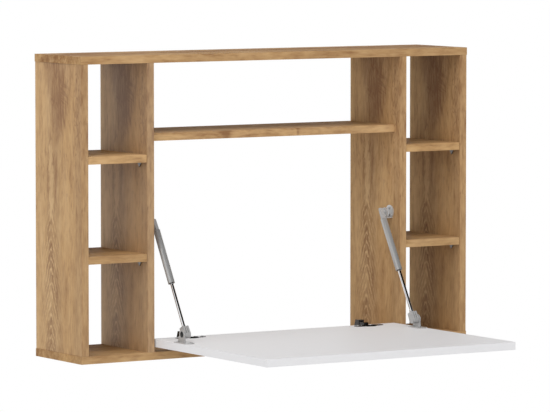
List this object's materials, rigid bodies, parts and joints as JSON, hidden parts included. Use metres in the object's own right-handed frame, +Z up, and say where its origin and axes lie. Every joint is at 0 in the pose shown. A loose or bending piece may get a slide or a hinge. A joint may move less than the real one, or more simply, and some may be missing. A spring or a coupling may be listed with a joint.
{
  "type": "fold down wall desk",
  "caption": "Wall-hung shelf cabinet with open bays at each side and a writing flap that folds down on concealed hinges, held level by two telescopic struts.",
  "frame": {"origin": "in the wall plane, midway along the row of keyhole hangers", "axes": "+X to the right as seen from the room, +Y from the room into the wall, +Z up"},
  "size_m": [0.95, 0.6249, 0.627],
  "materials": {
    "oak_board": "light oak decor on coated board",
    "white_gloss_board": "white gloss coated board",
    "zinc_steel": "zinc plated",
    "screw_steel": "zinc plated",
    "oak_cap": "matt, matched to the boards",
    "beech": "plain beech",
    "dark_nickel": "dark nickel plated",
    "grey_steel": "satin grey",
    "silver_tube": "silver grey lacquer",
    "chrome_rod": "hard chrome",
    "black_plastic": "matt",
    "grey_plastic": "satin moulded"
  },
  "bodies": {
    "cabinet": {"top_board": "oak_board", "bottom_board": "oak_board", "left_side_panel": "oak_board", "right_side_panel": "oak_board", "left_partition": "oak_board", "right_partition": "oak_board", "centre_shelf": "oak_board", "left_upper_side_shelf": "oak_board", "left_lower_side_shelf": "oak_board", "right_upper_side_shelf": "oak_board", "right_lower_side_shelf": "oak_board", "shelf_supports": "zinc_steel", "board_screws": "screw_steel", "screw_cover_caps": "oak_cap", "wooden_dowels": "beech", "cam_housings": "zinc_steel", "cam_bolts": "zinc_steel", "wall_hanger_plates": "zinc_steel", "hanger_plate_screws": "screw_steel", "left_hinge_mounting_plate": "dark_nickel", "right_hinge_mounting_plate": "dark_nickel", "left_hinge_arm": "dark_nickel", "right_hinge_arm": "dark_nickel", "hinge_adjusting_screws": "zinc_steel", "mounting_plate_screws": "screw_steel", "left_strut_upper_bracket": "grey_steel", "right_strut_upper_bracket": "grey_steel", "upper_bracket_screws": "screw_steel"},
    "flap": {"writing_flap": "white_gloss_board", "left_hinge_cup": "dark_nickel", "right_hinge_cup": "dark_nickel", "hinge_pins": "zinc_steel", "hinge_cup_screws": "screw_steel", "left_strut_lower_bracket": "grey_steel", "right_strut_lower_bracket": "grey_steel", "lower_bracket_screws": "screw_steel"},
    "left_rod": {"left_strut_rod": "chrome_rod", "left_strut_piston": "black_plastic", "left_strut_rod_fitting": "grey_plastic"},
    "left_cylinder": {"left_strut_cylinder": "silver_tube", "left_strut_rod_guide": "black_plastic", "left_strut_top_fitting": "grey_plastic"},
    "right_rod": {"right_strut_rod": "chrome_rod", "right_strut_piston": "black_plastic", "right_strut_rod_fitting": "grey_plastic"},
    "right_cylinder": {"right_strut_cylinder": "silver_tube", "right_strut_rod_guide": "black_plastic", "right_strut_top_fitting": "grey_plastic"}
  },
  "joints": [
    {"name": "flap_fold", "type": "hinge", "parent": "cabinet", "child": "flap", "pos_m": [0, -0.1882, -0.5402], "axis": [-1, 0, 0], "range_deg": [0, 90]},
    {"name": "left_rod_swing", "type": "hinge", "parent": "flap", "child": "left_rod", "pos_m": [-0.2805, -0.2815, -0.5115], "axis": [1, 0, 0], "range_deg": [0, 118.47]},
    {"name": "left_cylinder_slide", "type": "slide", "parent": "left_rod", "child": "left_cylinder", "axis": [0, -0.4964, -0.8681], "range_m": [0, 0.09791]},
    {"name": "right_rod_swing", "type": "hinge", "parent": "flap", "child": "right_rod", "pos_m": [0.2805, -0.2815, -0.5115], "axis": [1, 0, 0], "range_deg": [0, 118.47]},
    {"name": "right_cylinder_slide", "type": "slide", "parent": "right_rod", "child": "right_cylinder", "axis": [0, -0.4964, -0.8681], "range_m": [0, 0.09791]}
  ],
  "couplings": [
    {"joint": "left_rod_swing", "follows": "flap_fold", "ratio": 1.3163},
    {"joint": "left_cylinder_slide", "follows": "flap_fold", "m_per_rad": 0.062328},
    {"joint": "right_rod_swing", "follows": "flap_fold", "ratio": 1.3163},
    {"joint": "right_cylinder_slide", "follows": "flap_fold", "m_per_rad": 0.062328}
  ]
}
